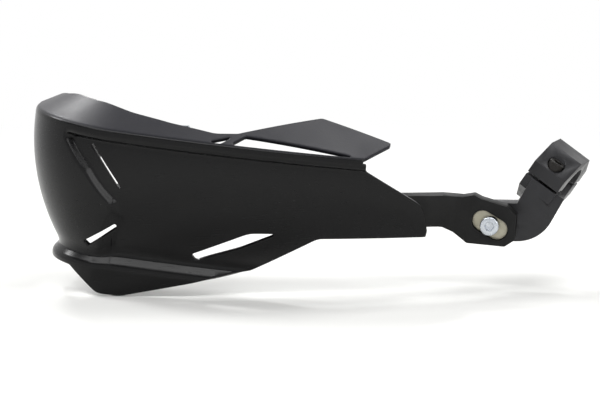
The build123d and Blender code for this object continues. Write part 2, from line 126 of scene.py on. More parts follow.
def softened(cad_node, edge):
    """A copy of the CAD node with its sharp edges rounded."""
    shape = merged(cad_node)
    bmesh.ops.dissolve_limit(shape, angle_limit=flat_within, verts=shape.verts, edges=shape.edges)
    sharp = bpy.data.meshes.new(cad_node)
    shape.to_mesh(sharp)
    shape.free()
    sharp.shade_smooth()
    holder = bpy.data.objects.new(cad_node, sharp)
    bpy.context.collection.objects.link(holder)
    rounding = holder.modifiers.new("rounded_edges", "BEVEL")
    rounding.width = edge
    rounding.segments = 2
    rounding.angle_limit = sharp_from
    rounding.harden_normals = True
    graph = bpy.context.evaluated_depsgraph_get()
    data = bpy.data.meshes.new_from_object(holder.evaluated_get(graph))
    bpy.data.objects.remove(holder)
    return data


# Glass-filled nylon: the fibres near the skin break up its colour and its gloss, so it looks matt. Real ones
# are about 0.3 mm long, and they are drawn four times as long to show.
nylon, tree, place = new_material("glass_filled_nylon")
fibre = node(tree, "ShaderNodeTexNoise", {"Vector": place, "Scale": 1 / fibre_size, "Detail": 4})
sink = node(tree, "ShaderNodeTexNoise", {"Vector": place, "Scale": 1 / sink_size, "Detail": 2})
fibre_relief = node(
    tree, "ShaderNodeBump", {"Height": fibre.outputs["Fac"], "Strength": 0.3, "Distance": fibre_height}
)
skin = node(
    tree,
    "ShaderNodeBsdfPrincipled",
    {
        **mottled(tree, fibre, nylon_dark, nylon_pale, sink, smooth=0.45, rough=0.6),
        "Normal": fibre_relief.outputs["Normal"],
        "IOR": 1.53,
        "Specular IOR Level": 0.2,
    },
)
node(tree, "ShaderNodeOutputMaterial", {"Surface": skin.outputs["BSDF"]})
show(softened("core_bar", bar_edge), "bar_moulding", nylon, "core_bar")

# End bush: a turned aluminium tube pressed into the eye, so that the bolt can't crush the plastic.
# Its ends are faced flush with the eye.
bush_edge = 0.5 * mm
turned_dark, turned_pale = "#a9a498", "#cfcabd"
cloud_size, ring_pitch, ring_height = 3 * mm, 3.14 * mm, 0.1 * mm
rings_at_scale_one = 20 / (2 * pi)

# Turned aluminium: bright and a little warm, with a sheen that shifts over the lathe's rings. Real rings are
# about 0.2 mm apart, and they are drawn every 3 mm to show. A wave texture turns 20 radians in a metre at
# scale 1.
aluminium, tree, place = new_material("turned_aluminium")
cloud = node(tree, "ShaderNodeTexNoise", {"Vector": place, "Scale": 1 / cloud_size, "Detail": 5})
lathe = node(
    tree,
    "ShaderNodeTexWave",
    {
        "Vector": place,
        "Scale": 1 / (rings_at_scale_one * ring_pitch),
        "Distortion": 2,
        "Detail": 3,
        "Detail Scale": 2,
    },
    wave_type="RINGS",
    rings_direction="X",
)
lathe_relief = node(
    tree, "ShaderNodeBump", {"Height": lathe.outputs["Fac"], "Strength": 0.15, "Distance": ring_height}
)
skin = node(
    tree,
    "ShaderNodeBsdfPrincipled",
    {
        **mottled(tree, cloud, turned_dark, turned_pale, cloud, smooth=0.34, rough=0.48),
        "Normal": lathe_relief.outputs["Normal"],
        "Metallic": 1.0,
    },
)
node(tree, "ShaderNodeOutputMaterial", {"Surface": skin.outputs["BSDF"]})
show(softened("end_bush", bush_edge), "bush", aluminium, "end_bush")

# End spacer: a collar on the end bolt, between the eye and the expander, turned from aluminium rod.
# It is blasted, then dyed black by anodising.
spacer_edge = 0.8 * mm
dye_dark, dye_pale = "#1c1c1e", "#2c2c2f"
pit_size, pit_height, handled_size = 0.7 * mm, 0.15 * mm, 9 * mm

# Black anodised aluminium: a soft grey sheen with a fine grain, a little patchy from handling. The pits of
# the blasting are about 0.1 mm wide, and they are drawn at 0.7 mm to show.
anodised, tree, place = new_material("black_anodised_aluminium")
pits = node(tree, "ShaderNodeTexNoise", {"Vector": place, "Scale": 1 / pit_size, "Detail": 3})
handled = node(tree, "ShaderNodeTexNoise", {"Vector": place, "Scale": 1 / handled_size, "Detail": 4})
pit_relief = node(
    tree, "ShaderNodeBump", {"Height": pits.outputs["Fac"], "Strength": 0.2, "Distance": pit_height}
)
skin = node(
    tree,
    "ShaderNodeBsdfPrincipled",
    {
        **mottled(tree, handled, dye_dark, dye_pale, handled, smooth=0.34, rough=0.46),
        "Normal": pit_relief.outputs["Normal"],
        "Metallic": 0.35,
    },
)
node(tree, "ShaderNodeOutputMaterial", {"Surface": skin.outputs["BSDF"]})
show(softened("end_spacer", spacer_edge), "spacer", anodised, "end_spacer")

# Expander sleeve: a turned aluminium tube, slit crosswise from its inner end into four fingers.
# The cone spreads them as the end bolt is tightened.
sleeve_edge = 0.35 * mm
show(softened("expander_sleeve", sleeve_edge), "sleeve", aluminium, "expander_sleeve")

# Expander cone: a turned steel cone nut, zinc plated. The bolt draws it into the sleeve's mouth.
# Its thread takes the end of the bolt.
cone_edge = 0.35 * mm
zinc_dark, zinc_pale = "#a7adb5", "#d7dbe0"
patch_size = 2.5 * mm

# Zinc plated steel: bright and slightly blue, dulled in small patches.
zinc, tree, place = new_material("zinc_plated_steel")
patch = node(tree, "ShaderNodeTexNoise", {"Vector": place, "Scale": 1 / patch_size, "Detail": 5})
skin = node(
    tree,
    "ShaderNodeBsdfPrincipled",
    {**mottled(tree, patch, zinc_dark, zinc_pale, patch, smooth=0.16, rough=0.34), "Metallic": 1.0},
)
node(tree, "ShaderNodeOutputMaterial", {"Surface": skin.outputs["BSDF"]})
show(softened("expander_cone", cone_edge), "cone", zinc, "expander_cone")

# End washer: a stamped steel washer under the head of the end bolt, zinc plated.
# The stamp rolls its edge over.
washer_edge = 0.4 * mm
show(softened("end_washer", washer_edge), "washer", zinc, "end_washer")

# End bolt: an M8 socket head bolt of zinc plated steel, from the eye through the sleeve to the cone nut.
# Its head is cold formed and knurled, its socket is broached, and its thread is rolled.
end_radius, end_length, end_thread = 4.0, 69.16, 16.0
end_head_radius, end_head, end_key = 6.5, 8.0, 6.0
flutes, flute_depth = 36, 0.03
shade_break = radians(38)


def bolt_mesh(name, radius, length, thread, head_radius, head, key):
    """A socket head bolt along Z, with the underside of its head at 0 and its thread drawn as rings."""
    turn = np.linspace(0, 2 * pi, 4 * flutes, endpoint=False)
    hexagon = key / 2 / np.cos(turn % (pi / 3) - pi / 6)
    knurl = head_radius * (1 - flute_depth * (1 - np.cos(flutes * turn)) / 2)
    soft = 0.08 * head_radius
    pitch = 0.17 * radius + 0.45
    socket = [
        (0.2 * hexagon, -0.42 * head),
        (0.96 * hexagon, -0.5 * head),
        (hexagon, -0.54 * head),
        (hexagon, 0.05 * key - head),
        (1.08 * hexagon, -head),
    ]
    outside = [
        (head_radius - 2.4 * soft, -head),
        (head_radius - 0.9 * soft, 0.35 * soft - head),
        (head_radius - 0.2 * soft, 1.2 * soft - head),
        (knurl, 2 * soft - head),
        (knurl, -2.2 * soft),
        (head_radius - 0.1 * soft, -1.6 * soft),
        (head_radius, -0.8 * soft),
        (head_radius - 0.8 * soft, 0),
    ]
    shank = [(radius, 0)]
    crest = length - thread
    while crest + pitch < length - radius / 2:
        shank += [(radius, crest), (radius, crest + 0.2 * pitch), (0.84 * radius, crest + 0.6 * pitch)]
        crest += pitch
    point = [(radius, crest), (0.6 * radius, length - 0.1 * radius), (0.4 * radius, length)]
    rows = socket + outside + shank + point
    sides = len(turn)
    verts = [
        (r * cos(t) * mm, r * sin(t) * mm, z * mm)
        for radii, z in rows
        for r, t in zip(np.broadcast_to(radii, sides), turn)
    ]
    faces = [list(range(sides)), list(range(len(verts) - 1, len(verts) - sides - 1, -1))]
    for i in range(0, len(verts) - sides, sides):
        for k in range(sides):
            on = (k + 1) % sides
            faces.append((i + k, i + sides + k, i + sides + on, i + on))
    data = bpy.data.meshes.new(name)
    data.from_pydata(verts, [], faces)
    data.shade_smooth()
    data.set_sharp_from_angle(angle=shade_break)
    return data


def bolt_seats(cad_node, head, across):
    """Where each bolt of a CAD node sits, front to rear: under its head, with Z along its shank."""
    shape = merged(cad_node)
    seats, reached = [], set()
    for first in shape.verts:
        if first in reached:
            continue
        reached.add(first)
        bolt = [first]
        for vert in bolt:
            for other in [link.other_vert(vert) for link in vert.link_edges]:
                if other not in reached:
                    reached.add(other)
                    bolt.append(other)
        spots = np.array([vert.co for vert in bolt])
        middle = spots.mean(0)
        way = np.linalg.svd(spots - middle, full_matrices=False)[2][0]
        along = (spots - middle) @ way
        width = np.linalg.norm(spots - middle - along[:, None] * way, axis=1)
        if along[width.argmax()] > 0:
            way, along = -way, -along
        down, side = Vector(way), Vector(across).normalized()
        turned = Matrix((side, down.cross(side), down)).transposed().to_4x4()
        seats.append(Matrix.Translation(middle + (along.min() + head * mm) * way) @ turned)
    shape.free()
    return sorted(seats, key=lambda seat: seat.translation.y)


end_bolt = bolt_mesh("end_bolt", end_radius, end_length, end_thread, end_head_radius, end_head, end_key)
end_bolt.transform(bolt_seats("end_bolt", end_head, (0, 1, 0))[0])
show(end_bolt, "bar_end_bolt", zinc, "end_bolt")

# Clamp body: the lower half of the clamp at the inner end, machined from aluminium with the leg that
# the bolt in the arm screws into, then blasted and anodised black.
clamp_edge = 0.7 * mm
show(softened("clamp_body", clamp_edge), "clamp_lower", anodised, "clamp_body")

# Slot washer: an oblong washer milled from plain aluminium. It lies in the arm's slot and lets the clamp
# be set along it.
slot_edge = 0.4 * mm
guard_tilt, slot_turn = radians(7), radians(24)
milled_dark, milled_pale = "#94907f", "#b5b1a2"
cutter_size, cutter_stretch, cutter_height, stain_size = 0.5 * mm, 0.12, 0.1 * mm, 5 * mm

# Milled aluminium: dull and warm, with the cutter's lines along it and a few stains. Real lines are about
# 0.1 mm apart, and they are drawn at 0.5 mm to show.
milled, tree, place = new_material("milled_aluminium")
along_slot = node(
    tree,
    "ShaderNodeMapping",
    {"Vector": place, "Rotation": (0, guard_tilt + slot_turn, 0), "Scale": (cutter_stretch, 1, 1)},
)
cutter = node(
    tree,
    "ShaderNodeTexNoise",
    {"Vector": along_slot.outputs["Vector"], "Scale": 1 / cutter_size, "Detail": 3},
)
stain = node(tree, "ShaderNodeTexNoise", {"Vector": place, "Scale": 1 / stain_size, "Detail": 4})
cutter_relief = node(
    tree, "ShaderNodeBump", {"Height": cutter.outputs["Fac"], "Strength": 0.25, "Distance": cutter_height}
)
skin = node(
    tree,
    "ShaderNodeBsdfPrincipled",
    {
        **mottled(tree, stain, milled_dark, milled_pale, cutter, smooth=0.36, rough=0.52),
        "Normal": cutter_relief.outputs["Normal"],
        "Metallic": 1.0,
    },
)
node(tree, "ShaderNodeOutputMaterial", {"Surface": skin.outputs["BSDF"]})
show(softened("slot_washer", slot_edge), "oblong_washer", milled, "slot_washer")

# Pivot bolt: an M6 socket bolt with a wide head, of zinc plated steel. It goes through the slot washer and
# the arm into the clamp's leg, and pins the two together.
pivot_radius, pivot_length, pivot_thread = 3.0, 22.0, 11.0
pivot_head_radius, pivot_head, pivot_key = 5.9, 6.0, 5.0
guard_x, guard_z = (cos(guard_tilt), 0, -sin(guard_tilt)), (sin(guard_tilt), 0, cos(guard_tilt))
pivot_bolt = bolt_mesh(
    "pivot_bolt", pivot_radius, pivot_length, pivot_thread, pivot_head_radius, pivot_head, pivot_key
)
pivot_bolt.transform(bolt_seats("pivot_bolt", pivot_head, guard_x)[0])
show(pivot_bolt, "arm_bolt", zinc, "pivot_bolt")

# Clamp cap: the upper half of the clamp, machined with the lower one and split from it, so that its bolts
# can pull the two together. Their two seats are spot faced, and it is anodised like the lower half.
show(softened("clamp_cap", clamp_edge), "clamp_upper", anodised, "clamp_cap")

# Clamp bolts: two M6 socket head bolts of steel with a black oxide finish. They sit in the cap's spot
# faces, each turned as it came when it was tight.
clamp_radius, clamp_length, clamp_thread = 3.0, 20.0, 14.0
clamp_head_radius, clamp_head, clamp_key = 5.0, 6.0, 5.0
clamp_seed = 4
sixth_turn = pi / 3
oxide_dark, oxide_pale = "#171615", "#2b2825"
oil_size = 1.5 * mm
clamp_axis = next(mount["axis"] for mount in frame["record"]["mounts"] if mount["name"] == "bar_clamp")

# Black oxide steel: a dark oily sheen, a little brown in places.
oxide, tree, place = new_material("black_oxide_steel")
oil = node(tree, "ShaderNodeTexNoise", {"Vector": place, "Scale": 1 / oil_size, "Detail": 5})
skin = node(
    tree,
    "ShaderNodeBsdfPrincipled",
    {**mottled(tree, oil, oxide_dark, oxide_pale, oil, smooth=0.28, rough=0.42), "Metallic": 0.6},
)
node(tree, "ShaderNodeOutputMaterial", {"Surface": skin.outputs["BSDF"]})

# A row of bolts: one at each point, leaning as the point says and turned by chance about its own axis
bolt_row = bpy.data.node_groups.new("bolt_row", "GeometryNodeTree")
bolt_row.is_modifier = True
bolt_row.interface.new_socket("Geometry", in_out="OUTPUT", socket_type="NodeSocketGeometry")
for name, kind in (
    ("Geometry", "NodeSocketGeometry"),
    ("Bolt", "NodeSocketObject"),
    ("Finish", "NodeSocketMaterial"),
    ("Loosest turn", "NodeSocketFloat"),
    ("Seed", "NodeSocketInt"),
):
    bolt_row.interface.new_socket(name, in_out="INPUT", socket_type=kind)
given = node(bolt_row, "NodeGroupInput").outputs
pattern_in = node(bolt_row, "GeometryNodeObjectInfo", {"Object": given["Bolt"], "As Instance": True})
lean_in = node(bolt_row, "GeometryNodeInputNamedAttribute", {"Name": "lean"}, data_type="FLOAT_VECTOR")
leaning = node(bolt_row, "FunctionNodeEulerToRotation", {"Euler": lean_in.outputs["Attribute"]})
seated = node(
    bolt_row,
    "GeometryNodeInstanceOnPoints",
    {
        "Points": given["Geometry"],
        "Instance": pattern_in.outputs["Geometry"],
        "Rotation": leaning.outputs["Rotation"],
    },
)
chance = node(
    bolt_row,
    "FunctionNodeRandomValue",
    {"Max": given["Loosest turn"], "Seed": given["Seed"]},
    data_type="FLOAT",
)
spin = node(bolt_row, "ShaderNodeCombineXYZ", {"Z": chance.outputs[1]})
tightened = node(
    bolt_row,
    "GeometryNodeRotateInstances",
    {"Instances": seated.outputs["Instances"], "Rotation": spin.outputs["Vector"]},
)
real = node(bolt_row, "GeometryNodeRealizeInstances", {"Geometry": tightened.outputs["Instances"]})
coated = node(
    bolt_row,
    "GeometryNodeSetMaterial",
    {"Geometry": real.outputs["Geometry"], "Material": given["Finish"]},
)
node(bolt_row, "NodeGroupOutput", {"Geometry": coated.outputs["Geometry"]})


def row_of_bolts(name, bolt, finish, seats, seed):
    spots = bpy.data.meshes.new(name)
    spots.from_pydata([seat.translation for seat in seats], [], [])
    lean = spots.attributes.new("lean", "FLOAT_VECTOR", "POINT")
    for spot, seat in zip(lean.data, seats):
        spot.vector = seat.to_euler()
    pattern = bpy.data.objects.new(bolt.name, bolt)
    holder = bpy.data.objects.new(name, spots)
    bpy.context.collection.objects.link(holder)
    row = holder.modifiers.new("bolts", "NODES")
    row.node_group = bolt_row
    values = {"Bolt": pattern, "Finish": finish, "Loosest turn": sixth_turn, "Seed": seed}
    for socket in bolt_row.interface.items_tree:
        if socket.name in values:
            row[socket.identifier] = values[socket.name]
    graph = bpy.context.evaluated_depsgraph_get()
    data = bpy.data.meshes.new_from_object(holder.evaluated_get(graph))
    bpy.data.objects.remove(holder)
    bpy.data.objects.remove(pattern)
    return data


clamp_bolt = bolt_mesh(
    "clamp_bolt", clamp_radius, clamp_length, clamp_thread, clamp_head_radius, clamp_head, clamp_key
)
clamp_seats = bolt_seats("clamp_bolts", clamp_head, clamp_axis)
clamp_bolts = row_of_bolts("clamp_bolts", clamp_bolt, oxide, clamp_seats, clamp_seed)
show(clamp_bolts, "clamp_bolt_pair", oxide, "clamp_bolts")

# Shield: one injection moulding in black polypropylene, 3 mm thick, turned back at its outer end in one
# long curve. Its panel comes off a polished tool face, and its hood and wing have a fine satin grain.
# Four bosses moulded on its back take the screws that hold it to the core bar.

# Its sizes are in millimetres, before the guard's tilt: x to the inner end, y to the rear, z up
wall, edge_round = 3.0, 0.7
front_reach, front_radius = 115.0, 480.0
corner_radius, outer_x = 60.0, -42.04
corner_x, corner_y = outer_x + corner_radius, corner_radius - front_reach
front_y = front_radius - front_reach
crease_z, lip_z, ledge_z = 21.0, 16.0, -60.3
hood_slope, hood_reach, hood_depth = tan(radians(30)), 42.0, 22.5
belly, recess, least_fall = 131.08, 5.0, 1e-6
bevel_y, bevel_slope = -106.0, tan(radians(50))
ledge_end, flare_foot = (-19.3, -66.7), (-28.0, -96.5)
ledge_rise, ledge_set_back, ledge_blend = 0.55, 0.62, 29
ledge_from, ledge_to = 0.4, 0.75
chevron = ((21.0, -22.7), (4.0, -1.1), (-79.3, 54.3), (-60.0, -92.0), (21.0, -30.7))
vent_left, vent_right, end_x = 86.0, 160.0, 208.5
vent_z, peak_z, rear_x = lip_z + 2.1, crease_z + 3, 15.0
slit_top, slit_foot, slit_width = np.array((2.5, 10.5)), np.array((21.0, -13.0)), 1.4
crease_bend, lip_bend, lip_edge = 1.5, 2.2, 0.6
hood_gap, flare_gap = 0.1, 1.2
shelf_bend, rim_bend, side_share = 2.4, 2.4, 0.48
corner_steps, crease_steps, nook_steps, rim_steps = 7, 6, 10, 8
cell, fine_cell = 1.3, 0.5
cell_turn, fine_turn = 1.3, 0.48
fine_from_x, fine_to_turn = 36.0, 42.0
inner_x, rear_y = 211.0, -21.0
panel_head_drop, panel_foot_drop, panel_rows = 3.2, 70.0, 88


def bend(start, corner, end, steps):
    """Points of a rounded corner and the way along it."""
    t = np.linspace(0, 1, steps).reshape((-1,) + (1,) * np.ndim(start))
    line = (1 - t) ** 2 * start + 2 * t * (1 - t) * corner + t**2 * end
    way = (1 - t) * (corner - start) + t * (end - corner)
    return line, way


def rounded(corners, radii):
    """A polygon with each corner rounded off."""
    corners = np.array(corners, float)
    line = []
    for before, corner, after, radius in zip(np.roll(corners, 1, 0), corners, np.roll(corners, -1, 0), radii):
        back, on = before - corner, after - corner
        half = np.arccos(back @ on / np.linalg.norm(back) / np.linalg.norm(on)) / 2
        cut = radius / tan(half)
        start = corner + back * min(side_share, cut / np.linalg.norm(back))
        end = corner + on * min(side_share, cut / np.linalg.norm(on))
        line.extend(bend(start, corner, end, corner_steps)[0])
    return np.array(line)


def inside_by(points, polygon):
    """How far each point lies inside a polygon, less than zero outside it."""
    start = np.array(polygon, float)
    edge = np.roll(start, -1, 0) - start
    to = points[..., None, :] - start
    along = np.clip((to * edge).sum(-1) / (edge**2).sum(-1), 0, 1)
    gap = np.sqrt(((to - along[..., None] * edge) ** 2).sum(-1)).min(-1)
    across = (to[..., 1] < 0) != (to[..., 1] < edge[:, 1])
    slope = edge[:, 0] / np.where(edge[:, 1] == 0, 1, edge[:, 1])
    hits = across & (to[..., 0] < to[..., 1] * slope)
    return np.where(hits.sum(-1) % 2, gap, -gap)


def front_wall(x):
    return front_y - np.sqrt(front_radius**2 - (x - corner_x) ** 2)


def behind_wall(*places):
    return [(x, front_wall(x) + depth) for x, depth in places]


# Stations along the wall, from the inner end round the corner to the rear edge: place and way out
front_x = np.concatenate(
    (np.arange(inner_x, fine_from_x, -cell), np.arange(fine_from_x, corner_x, -fine_cell))
)
front_turn = np.arcsin((front_x - corner_x) / front_radius)
corner_turn = np.radians(
    np.concatenate((np.arange(0, fine_to_turn, fine_turn), np.arange(fine_to_turn, 90, cell_turn)))
)
outer_y = np.arange(corner_y, rear_y, cell)
base_x = np.concatenate((front_x, corner_x - corner_radius * np.sin(corner_turn), outer_x + 0 * outer_y))
base_y = np.concatenate((front_wall(front_x), corner_y - corner_radius * np.cos(corner_turn), outer_y))
out_x = np.concatenate((np.sin(front_turn), -np.sin(corner_turn), 0 * outer_y - 1))
out_y = np.concatenate((-np.cos(front_turn), -np.cos(corner_turn), 0 * outer_y))
stations = len(base_x)


def placed(n, z):
    """Points at a distance out from the wall's line and at a height, for every station."""
    return np.stack((base_x[:, None] + out_x[:, None] * n, base_y[:, None] + out_y[:, None] * n, z), -1)


# The panel lies back by the recess outside the chevron, and between the two its bevelled edge runs
panel_turn = np.linspace(asin(panel_head_drop / belly), asin(panel_foot_drop / belly), panel_rows)
every_station = np.zeros((stations, 1))


def panel_at(depth):
    reach = belly - depth
    return reach * np.cos(panel_turn) - belly, lip_z - reach * np.sin(panel_turn)


def out_of_chevron(depth):
    n, z = panel_at(depth - wall / 2)
    at = placed(n + every_station, z + every_station)
    return -inside_by(at[..., ::2], chevron) - (at[..., 1] - bevel_y) * bevel_slope


# The edge is softened along the wall and then down the panel: each pass turns the field over
over, under = out_of_chevron(0), out_of_chevron(recess)
depth = recess * np.clip(over / np.maximum(over - under, least_fall), 0, 1)
for _ in range(2):
    padded = np.pad(depth, ((1, 1), (0, 0)), "edge")
    depth = (padded[:-2] / 4 + padded[1:-1] / 2 + padded[2:] / 4).T
panel_n, panel_z = panel_at(depth)
head_depth, foot_depth = depth[:, 0], depth[:, -1]

# The section's middle line, row by row from the hood's rear edge down to the flare
section, section_way = [], []


def level(n, z):
    """One row of the section, the same or different at each station."""
    return np.stack((np.zeros(stations) + n, np.zeros(stations) + z), -1)


def add_bend(start, corner, end, steps):
    line, way = bend(start, corner, end, steps)
    section.extend(line)
    section_way.extend(way)


hood_rows = np.arange(hood_reach, crease_bend + hood_gap, -cell)
hood_way = np.array((1, -hood_slope)) / np.hypot(1, hood_slope)
shelf_top, shelf_foot = level(0, lip_z + lip_edge), level(-head_depth, lip_z - lip_edge)
shelf_length = np.linalg.norm(shelf_foot - shelf_top, axis=-1, keepdims=True)
shelf_cut = np.minimum(shelf_bend / shelf_length, side_share) * (shelf_foot - shelf_top)
panel_head = level(panel_n[:, 0], panel_z[:, 0])
panel_foot = level(panel_n[:, -1], panel_z[:, -1])
blend = np.full(ledge_blend, 1 / ledge_blend)
nook_depth = np.convolve(np.pad(foot_depth, ledge_blend // 2, "edge"), blend, "valid")
nook_z = ledge_z + ledge_rise * nook_depth
nook = level(np.sqrt((belly - nook_depth) ** 2 - (lip_z - nook_z) ** 2) - belly, nook_z)
ledge_rim = level(ledge_end[0] - ledge_set_back * nook_depth, ledge_end[1])
ledge = ledge_rim - nook
flare = level(*flare_foot) - ledge_rim
flare_length = np.linalg.norm(flare, axis=-1, keepdims=True)
flare_way = flare / flare_length
for back in hood_rows:
    section.append(level(-back, crease_z + back * hood_slope))
    section_way.append(level(*hood_way))
crease = level(0, crease_z)
add_bend(crease - crease_bend * hood_way, crease, level(0, crease_z - crease_bend), crease_steps)
add_bend(level(0, lip_z + lip_edge + lip_bend), shelf_top, shelf_top + shelf_cut, crease_steps)
add_bend(shelf_foot - shelf_cut, shelf_foot, panel_head, crease_steps)
for i, turn in enumerate(panel_turn[1:-1], 1):
    section.append(level(panel_n[:, i], panel_z[:, i]))
    section_way.append(level(-sin(turn), -cos(turn)))
add_bend(panel_foot, nook, nook + ledge_from * ledge, nook_steps)
add_bend(nook + ledge_to * ledge, ledge_rim, ledge_rim + rim_bend * flare_way, rim_steps)
for drop in np.arange(rim_bend + flare_gap, flare_length.min(), cell):
    section.append(ledge_rim + drop * flare_way)
    section_way.append(flare_way)
section, section_way = np.stack(section, 1), np.stack(section_way, 1)
section_way /= np.linalg.norm(section_way, axis=-1, keepdims=True)
half_wall = np.stack((-section_way[..., 1], section_way[..., 0]), -1) * wall / 2
middle_at, front_at, back_at = (
    placed(line[..., 0], line[..., 1]) for line in (section, section + half_wall, section - half_wall)
)

# What the mould leaves: the outline from the front, the hood, wing, vent and notch from above, the rear
# edge from the side, and three slots
from_front, from_above, from_side = middle_at[..., ::2], middle_at[..., :2], middle_at[..., 1:]
height = middle_at[..., 2]
outline = rounded(
    (
        (-90, 53), (end_x, 53), (end_x, 19.5), (167.5, 19.5), (167.5, 14), (203.5, -5), (end_x, -25),
        (143, -32), (104, -58.5), (26, -84.2), (12, -84.2), (-7, -69.5), (-90, -69.5),
    ),
    (1, 1, 1, 1, 2, 14, 2, 12, 2, 22, 10, 2, 1),
)
rear_cut = rounded(
    behind_wall(
        (corner_x - 20, 27.4), (corner_x, 18), (corner_x + 30, 13), (corner_x + 57, 9),
        (vent_left + 2, 11), (vent_left + 49, 32), (vent_right + 21, 15.5), (vent_right + 3, -wall),
    )
    + [(vent_right + 3, -118), (end_x + 32, -118), (end_x + 32, 0), (corner_x - 20, 0)],
    (2, 60, 30, 20, 3, 4, 2, 1, 1, 1, 1, 1),
)
vent = rounded(
    behind_wall(*[(x, wall / 2) for x in np.linspace(vent_left, vent_right, 9)], (vent_left + 7.5, 9.5)),
    (1, *7 * (0.1,), 0.5, 1.5),
)
hood_peak = rounded(((-33, -44), (-22, -66), (-9, -81), (4, -90), (4, -44)), (9, 10, 30, 1, 1))
notch = rounded(behind_wall((80, wall / 2), (72, wall / 2), (86, 8)), (0.8, 0.8, 0.8))
rear_edge = rounded(
    ((-58, 44), (-49, 18), (-22, -2), (-46, -72), (0, -72), (0, 44)), (2, 12, 12, 6, 1, 1)
)
outer_slot = rounded(((1.3, -51.6), (20.1, -37), (21.2, -39.4), (4.2, -54.2)), (1, 1, 1, 1))
leaf_slot = rounded(
    ((67, -51.8), (70.2, -55.6), (97, -43.5), (119, -31.1), (101.6, -33)), (1.5, 1.5, 40, 1, 20)
)
slit_length = np.linalg.norm(slit_foot - slit_top)
slit_way = (slit_foot - slit_top) / slit_length
to_slit = from_front - slit_top
slit_along = np.clip(to_slit @ slit_way, 0, slit_length)
on_front = np.arange(stations)[:, None] < len(front_x)
on_hood = np.arange(section.shape[1]) < len(hood_rows)
inside = np.stack(
    (
        inside_by(from_front, outline),
        -np.minimum(inside_by(from_above, rear_cut), height - crease_z + wall / 2),
        -np.minimum(inside_by(from_above, vent), height - vent_z),
        -np.minimum(inside_by(from_above, notch), height - vent_z),
        -np.minimum(inside_by(from_above, hood_peak), height - peak_z),
        -np.minimum(inside_by(from_side, rear_edge), rear_x - middle_at[..., 0]),
        -inside_by(from_front, outer_slot),
        -inside_by(from_front, leaf_slot),
        np.linalg.norm(to_slit - slit_along[..., None] * slit_way, axis=-1) - slit_width / 2,
        np.where(on_front, hood_reach, hood_depth) + np.where(on_hood, section[..., 0], 0),
    )
).min(0)

# Faces over what is left: whole cells inside, cut cells at the edge
least_share = 0.05
front_points, back_points, number, front_faces = [], [], {}, []


def corner_of(a, b=None):
    """The point at a grid corner, or where the edge crosses between two of them."""
    key = (a, b) if b is None or a < b else (b, a)
    if key not in number:
        number[key] = len(front_points)
        share = 0.0
        if b is not None:
            a, b = key
            share = (edge_round - inside[a]) / (inside[b] - inside[a])
            share = min(1 - least_share, max(least_share, share))
        other = a if b is None else b
        front_points.append((1 - share) * front_at[a] + share * front_at[other])
        back_points.append((1 - share) * back_at[a] + share * back_at[other])
    return number[key]


kept = inside > edge_round
for i, j in np.argwhere(kept[:-1, :-1] | kept[1:, :-1] | kept[:-1, 1:] | kept[1:, 1:]):
    corners = ((i, j), (i + 1, j), (i + 1, j + 1), (i, j + 1))
    face = []
    for a, b in zip(corners, corners[1:] + corners[:1]):
        if kept[a]:
            face.append(corner_of(a))
        if kept[a] != kept[b]:
            face.append(corner_of(a, b))
    front_faces.append(face)

# The rim: from the front's edge over a rounded edge to the back's
front_points, back_points = np.array(front_points), np.array(back_points)
face_edges = {(a, b) for face in front_faces for a, b in zip(face, face[1:] + face[:1])}
rim = [(a, b) for a, b in face_edges if (b, a) not in face_edges]
on_rim = sorted({a for a, b in rim})
outward = front_points - back_points
outward /= np.linalg.norm(outward, axis=-1, keepdims=True)
sideways = np.zeros_like(front_points)
for a, b in rim:
    step = front_points[b] - front_points[a]
    sideways[[a, b]] += np.cross(step / np.linalg.norm(step), outward[[a, b]])
sideways[on_rim] /= np.linalg.norm(sideways[on_rim], axis=-1, keepdims=True)
layers = [front_points, back_points]
rim_rings = [{a: a for a in on_rim}]
placed_so_far = 2 * len(front_points)
quarter = np.radians((30, 60, 90))
for skin_points, lift, turns in (
    (front_points, -edge_round, quarter),
    (back_points, edge_round, quarter[::-1]),
):
    for turn in turns:
        round_off = edge_round * sin(turn) * sideways[on_rim] + lift * (1 - cos(turn)) * outward[on_rim]
        layers.append(skin_points[on_rim] + round_off)
        rim_rings.append({a: placed_so_far + k for k, a in enumerate(on_rim)})
        placed_so_far += len(on_rim)
rim_rings.append({a: a + len(front_points) for a in on_rim})
wall_faces = front_faces + [[len(front_points) + a for a in reversed(face)] for face in front_faces]
for upper, lower in zip(rim_rings, rim_rings[1:]):
    wall_faces.extend((upper[b], upper[a], lower[a], lower[b]) for a, b in rim)
wall_points = np.concatenate(layers) @ np.array((guard_x, (0, 1, 0), guard_z)) * mm
shield_data = bpy.data.meshes.new("shield")
shield_data.from_pydata(wall_points.tolist(), [], wall_faces)

